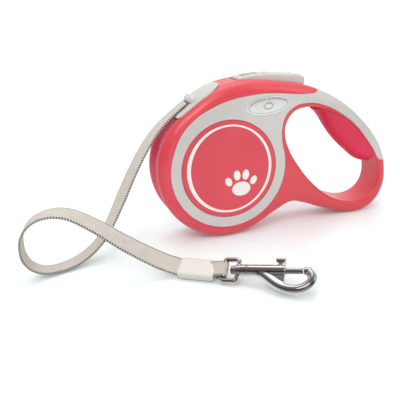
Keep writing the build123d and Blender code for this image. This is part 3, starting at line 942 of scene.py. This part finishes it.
def plain(name, light, dark, rough=(0.3, 0.42), grain=(2600, 0.10), metallic=0.0):
    """Moulded plastic, rubber or metal: two close tints, uneven sheen and a fine grain."""
    material, make, shader = new_material(name)
    out = detail(make, *grain)
    make.link(make.blend(out["Drift"], colour(light), colour(dark)), shader.inputs["Base Color"])
    make.link(make.remap(out["Smear"], 0, 1, *rough), shader.inputs["Roughness"])
    make.link(out["Normal"], shader.inputs["Normal"])
    shader.inputs["Metallic"].default_value = metallic
    return material


def woven(name, light, dark, thread, half_width):
    """Flat woven tape: cross ribs, a fine chequer of threads and a dashed dark thread by each edge."""
    material, make, shader = new_material(name)
    uv = make.node("ShaderNodeUVMap", uv_map="weave").outputs["UV"]
    parts = make.node("ShaderNodeSeparateXYZ")
    make.link(uv, parts.inputs[0])
    across, along = parts.outputs["X"], parts.outputs["Y"]
    fold = make.math("SINE", make.math("MULTIPLY", across, 2 * pi / 1.1))
    rib = make.math("SINE", make.math("ADD", make.math("MULTIPLY", along, 2 * pi / 0.72),
                                      make.math("MULTIPLY", make.math("SIGN", fold), pi / 2)))
    height = make.math("ADD", make.math("MULTIPLY", rib, 0.5),
                       make.math("MULTIPLY", make.math("ABSOLUTE", fold), 0.6))
    edge = make.math("ABSOLUTE", across)
    near = make.math("GREATER_THAN", edge, half_width - 0.95)
    dash = make.math("GREATER_THAN", make.math("SINE", make.math("MULTIPLY", along, 2 * pi / 1.45)), -0.25)
    mark = make.math("MULTIPLY", near, dash)
    place = make.node("ShaderNodeTexCoord").outputs["Object"]
    drift = make.remap(make.noise(place, 260, 3), 0.35, 0.7)
    slope = make.math("ADD", along, make.math("ABSOLUTE", across))
    twill = make.math("SINE", make.math("MULTIPLY", slope, 2 * pi / 1.25))
    cloth = make.blend(make.remap(make.math("ADD", make.math("MULTIPLY", rib, 0.45), make.math("MULTIPLY", twill, 0.75)),
                                  -0.9, 0.5, 0, 1), colour(dark), colour(light))
    shade = make.blend(make.math("MULTIPLY", drift, 0.22), cloth, colour(dark))
    make.link(make.blend(make.math("MULTIPLY", mark, 0.85), shade, colour(thread)), shader.inputs["Base Color"])
    shader.inputs["Roughness"].default_value = 0.82
    shader.inputs["Specular IOR Level"].default_value = 0.25
    shader.inputs["Sheen Weight"].default_value = 0.25
    fuzz = make.math("ADD", height, make.math("MULTIPLY", make.noise(place, 5000, 3), 0.5))
    make.link(make.bump(fuzz, 0.6, 0.00022), shader.inputs["Normal"])
    return material


def oval_mask(make, x, z, middle_x, middle_z, half_x, half_z, tilt=0.0, soft=0.06):
    """1 inside an oval, 0 outside, with a softened border."""
    c, s = cos(radians(tilt)), sin(radians(tilt))
    dx, dz = make.math("SUBTRACT", x, middle_x), make.math("SUBTRACT", z, middle_z)
    turned_x = make.math("ADD", make.math("MULTIPLY", dx, c), make.math("MULTIPLY", dz, s))
    turned_z = make.math("SUBTRACT", make.math("MULTIPLY", dz, c), make.math("MULTIPLY", dx, s))
    u, v = make.math("DIVIDE", turned_x, half_x), make.math("DIVIDE", turned_z, half_z)
    reach = make.math("SQRT", make.math("ADD", make.math("MULTIPLY", u, u), make.math("MULTIPLY", v, v)))
    return make.remap(reach, 1 - soft, 1 + soft, 1, 0)


def printed_label(name, mirror):
    """Red plate with a printed pale ring and a generic paw print."""
    material, make, shader = new_material(name)
    place = make.node("ShaderNodeTexCoord").outputs["Object"]
    centred = make.node("ShaderNodeMapping")
    centred.inputs["Location"].default_value = (-DRUM.x / MM, 0, -DRUM_R)
    centred.inputs["Scale"].default_value = (1 / MM, 1 / MM, 1 / MM)
    make.link(place, centred.inputs["Vector"])
    parts = make.node("ShaderNodeSeparateXYZ")
    make.link(centred.outputs[0], parts.inputs[0])
    x = make.math("MULTIPLY", parts.outputs["X"], mirror)
    z = parts.outputs["Z"]
    outer = oval_mask(make, x, z, 0.2, 0, 25.5, 25.7, 0, 0.004)
    inner = oval_mask(make, x, z, 0.5, 0.1, 23.5, 24.6, 0, 0.004)
    ring = make.math("SUBTRACT", outer, inner, clamp=True)
    ink = ring
    for oval in ((6.6, -12.4, 5.6, 4.2, 0), (-0.9, -7.4, 1.9, 2.7, 25), (4.3, -4.2, 2.0, 3.0, 8),
                 (9.6, -4.4, 2.0, 3.0, -10), (14.3, -8.2, 1.9, 2.7, -28)):
        ink = make.math("MAXIMUM", ink, oval_mask(make, x, z, *oval))
    out = detail(make, 2400, 0.02)
    base = make.blend(out["Drift"], colour("DB4855"), colour("D2404D"))
    speck = make.remap(make.noise(place, 1500, 3), 0.25, 0.45, 0.86, 1.0)
    printed = make.blend(make.math("MULTIPLY", ink, speck), base, colour("F4EAE6"))
    make.link(printed, shader.inputs["Base Color"])
    make.link(make.remap(out["Smear"], 0, 1, 0.28, 0.4), shader.inputs["Roughness"])
    make.link(make.bump(ink, 0.35, 0.00006, out["Normal"]), shader.inputs["Normal"])
    return material


def badge_metal(name):
    """Bright badge face with a thin dark rim line near its border."""
    material, make, shader = new_material(name)
    place = make.node("ShaderNodeTexCoord").outputs["Object"]
    centred = make.node("ShaderNodeMapping")
    centred.inputs["Location"].default_value = (-(DRUM.x / MM + BADGE_MIDDLE[0]), 0, -BADGE_MIDDLE[1])
    centred.inputs["Scale"].default_value = (1 / MM, 1 / MM, 1 / MM)
    make.link(place, centred.inputs["Vector"])
    parts = make.node("ShaderNodeSeparateXYZ")
    make.link(centred.outputs[0], parts.inputs[0])
    x, z = parts.outputs["X"], parts.outputs["Z"]
    outer = oval_mask(make, x, z, 0, 0, 11.9, 4.1, 3, 0.03)
    inner = oval_mask(make, x, z, 0, 0, 11.5, 3.8, 3, 0.03)
    line = make.math("SUBTRACT", outer, inner, clamp=True)
    emblem = make.math("SUBTRACT", oval_mask(make, x, z, 0, 0, 3.0, 2.0, 3, 0.05),
                       oval_mask(make, x, z, 0, 0, 2.2, 1.3, 3, 0.06), clamp=True)
    out = detail(make, 2800, 0.006)
    face = make.blend(out["Drift"], colour("E2DFDC"), colour("D2CFCC"))
    ink = make.math("MAXIMUM", line, make.math("MULTIPLY", emblem, 0.7))
    make.link(make.blend(make.math("MULTIPLY", ink, 0.75), face, colour("6C5A58")), shader.inputs["Base Color"])
    shader.inputs["Metallic"].default_value = 0.55
    make.link(make.remap(out["Smear"], 0, 1, 0.22, 0.36), shader.inputs["Roughness"])
    make.link(make.bump(emblem, 0.3, 0.0001, out["Normal"]), shader.inputs["Normal"])
    return material


def dotted_rubber(name, light, dark):
    """Soft grip: a close grid of low dots over a matt skin."""
    material, make, shader = new_material(name)
    out = detail(make, 1900, 0.16)
    place = make.node("ShaderNodeTexCoord").outputs["Object"]
    cells = make.node("ShaderNodeTexVoronoi")
    cells.inputs["Scale"].default_value = 900
    cells.inputs["Randomness"].default_value = 0.35
    make.link(place, cells.inputs["Vector"])
    dots = make.remap(cells.outputs["Distance"], 0.2, 0.5, 1, 0)
    make.link(make.blend(out["Drift"], colour(light), colour(dark)), shader.inputs["Base Color"])
    make.link(make.remap(out["Smear"], 0, 1, 0.48, 0.6), shader.inputs["Roughness"])
    make.link(make.bump(dots, 0.12, 0.00008, out["Normal"]), shader.inputs["Normal"])
    return material


def bright_metal(name):
    """Polished plating with a painted reflection: its colour is painted darker where it faces the eye and bright
    along its edges.
    """
    material, make, shader = new_material(name)
    out = detail(make, 500, 0.03)
    # Painted reflection: a facing blend makes the base colour dark head-on and bright at grazing edges.
    facing = make.node("ShaderNodeLayerWeight")
    facing.inputs["Blend"].default_value = 0.5
    edge = make.remap(facing.outputs["Facing"], 0.05, 0.62)
    face = make.blend(out["Drift"], colour("6E6B6A"), colour("5C5A59"))
    make.link(make.blend(edge, face, colour("F0EEEC")), shader.inputs["Base Color"])
    make.link(make.remap(out["Smear"], 0, 1, 0.05, 0.13), shader.inputs["Roughness"])
    make.link(out["Normal"], shader.inputs["Normal"])
    shader.inputs["Metallic"].default_value = 1.0
    return material


def shell_plastic(name, light, dark, shade_red):
    """Satin red plastic, with painted shade: a deeper red painted in the channel of the front rim and beside the
    ring, where shade falls.
    """
    material, make, shader = new_material(name)
    out = detail(make, 2300, 0.012)
    parts = make.node("ShaderNodeSeparateXYZ")
    make.link(make.node("ShaderNodeTexCoord").outputs["Object"], parts.inputs[0])
    x = make.math("SUBTRACT", make.math("DIVIDE", parts.outputs["X"], MM), DRUM.x / MM)
    z = make.math("SUBTRACT", make.math("DIVIDE", parts.outputs["Z"], MM), DRUM_R)
    aside = make.math("ABSOLUTE", make.math("DIVIDE", parts.outputs["Y"], MM))
    reach = make.math("SQRT", make.math("ADD", make.math("MULTIPLY", x, x), make.math("MULTIPLY", z, z)))
    # Painted shade: the masks below tint the rim's channel and the valley beside the ring towards the shade colour.
    front = make.remap(x, -6, -22)
    channel = make.math("MULTIPLY", make.remap(aside, 9.0, 6.2), make.remap(z, -38, 4))
    groove = make.math("MULTIPLY", channel, front)
    beside = make.math("MULTIPLY", make.remap(aside, 12.4, 13.6), make.remap(reach, 37.2, 35.4))
    front_valley_shade = make.math("MULTIPLY", beside, make.remap(x, 20, -4))
    painted_shade = make.math("MAXIMUM", groove, make.math("MULTIPLY", front_valley_shade, 0.8))
    base = make.blend(out["Drift"], colour(light), colour(dark))
    make.link(make.blend(painted_shade, base, colour(shade_red)), shader.inputs["Base Color"])
    make.link(make.remap(out["Smear"], 0, 1, 0.29, 0.34), shader.inputs["Roughness"])
    make.link(out["Normal"], shader.inputs["Normal"])
    return material


# The third colour is the painted shade for the rim's channel and the valley beside the ring.
RED = shell_plastic("red_plastic", "DC4650", "D63F49", "E23560")
MATERIALS = {
    "shell_red": RED,
    "trim_grey": plain("grey_plastic", "CDC7C3", "C4BEBA", rough=(0.32, 0.44), grain=(2200, 0.03)),
    "label_red": plain("label_plastic", "DB4855", "D2404D", grain=(2400, 0.02)),
    "badge_silver": badge_metal("badge_metal"),
    "grip_soft": dotted_rubber("grip_rubber", "E02A52", "D42349"),
    "steel": plain("steel", "B9B9BC", "A6A6AA", rough=(0.26, 0.42), grain=(1800, 0.08), metallic=1.0),
    "chrome": bright_metal("chrome"),
    "spring_steel": plain("spring_steel", "8E9096", "7C7F86", rough=(0.3, 0.45), grain=(1500, 0.08),
                          metallic=1.0),
    "tape": woven("tape_weave", "DFD8CF", "B2A99E", "3E3632", TAPE_WIDTH / 2),
    "tape_dark": woven("tape_end_weave", "D8CFC2", "ABA093", "3E3632", 4.3),
    "sleeve": plain("sleeve_plastic", "D2CEC6", "C9C4BC", rough=(0.34, 0.46), grain=(2100, 0.05)),
    "reel_white": plain("reel_plastic", "DCDAD4", "D0CEC8", rough=(0.36, 0.5)),
}


def wound_tape(name):
    """Turns of tape seen from the side: rings round the drum axis."""
    material, make, shader = new_material(name)
    place = make.node("ShaderNodeTexCoord").outputs["Object"]
    parts = make.node("ShaderNodeSeparateXYZ")
    make.link(place, parts.inputs[0])
    dx = make.math("SUBTRACT", parts.outputs["X"], DRUM.x)
    dz = make.math("SUBTRACT", parts.outputs["Z"], DRUM_R * MM)
    reach = make.math("SQRT", make.math("ADD", make.math("MULTIPLY", dx, dx), make.math("MULTIPLY", dz, dz)))
    turns = make.math("SINE", make.math("MULTIPLY", reach, 2 * pi / 0.0012))
    edges = make.blend(make.remap(turns, -1, 1), colour("8F837B"), colour("BDB1A8"))
    make.link(edges, shader.inputs["Base Color"])
    shader.inputs["Roughness"].default_value = 0.85
    make.link(make.bump(turns, 0.5, 0.0002), shader.inputs["Normal"])
    return material


def dress(obj, material, body=None):
    obj.data.materials.clear()
    obj.data.materials.append(material)
    if body:
        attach(obj, body)


NODE_FINISH = {
    "axle": "steel", "spring_arbor": "reel_white", "reel": "reel_white", "reel_cover": "reel_white",
    "spiral_spring": "spring_steel", "button_pin": "steel", "button_spring": "spring_steel",
    "housing_screws": "steel", "swivel_post": "chrome", "swivel_collar": "chrome",
    "bolt_spring": "spring_steel", "lock_slider": "trim_grey",
}
for node, finish in NODE_FINISH.items():
    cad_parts[node].data.materials.clear()
    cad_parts[node].data.materials.append(MATERIALS[finish])
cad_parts["tape_winding"].data.materials.clear()
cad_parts["tape_winding"].data.materials.append(wound_tape("wound_tape"))

PIECES = [
    (shell_left, "shell_red", "housing", ["left_shell"]),
    (shell_right, "shell_red", "housing", ["right_shell"]),
    (trim_left, "trim_grey", "housing", ["left_trim"]),
    (trim_right, "trim_grey", "housing", ["right_trim"]),
    (nozzle, "trim_grey", "housing", ["tape_nozzle"]),
    (nozzle_lip, "trim_grey", "housing", ["nozzle_guide_pin"]),
    (soft_grip, "grip_soft", "housing", ["grip_pad"]),
    (badge_left, "badge_silver", "housing", ["left_badge"]),
    (badge_right, "badge_silver", "housing", ["right_badge"]),
    (label_left, "label_red", "housing", ["left_label"]),
    (label_right, "label_red", "housing", ["right_label"]),
    (button_key, "trim_grey", "brake_button", ["brake_button"]),
    (button_skirt, "shell_red", "brake_button", []),
    (button_mark, "trim_grey", "brake_button", []),
    (sleeve, "sleeve", "housing", ["tape_sleeve"]),
    (tape, "tape", "housing", ["free_tape"]),
    (tape_end, "tape_dark", "housing", ["tape_loop"]),
    (cast_eye, "chrome", "swivel_eye", ["swivel_eye"]),
    (cast_body, "chrome", "snap_hook", ["hook_body"]),
    (cast_bolt, "chrome", "hook_bolt", ["hook_bolt"]),
]
for piece, finish, body, nodes in PIECES:
    dress(piece, MATERIALS[finish], body)
    if nodes:
        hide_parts(*nodes)
dress(label_left, printed_label("label_print_left", 1))
dress(label_right, printed_label("label_print_right", -1))
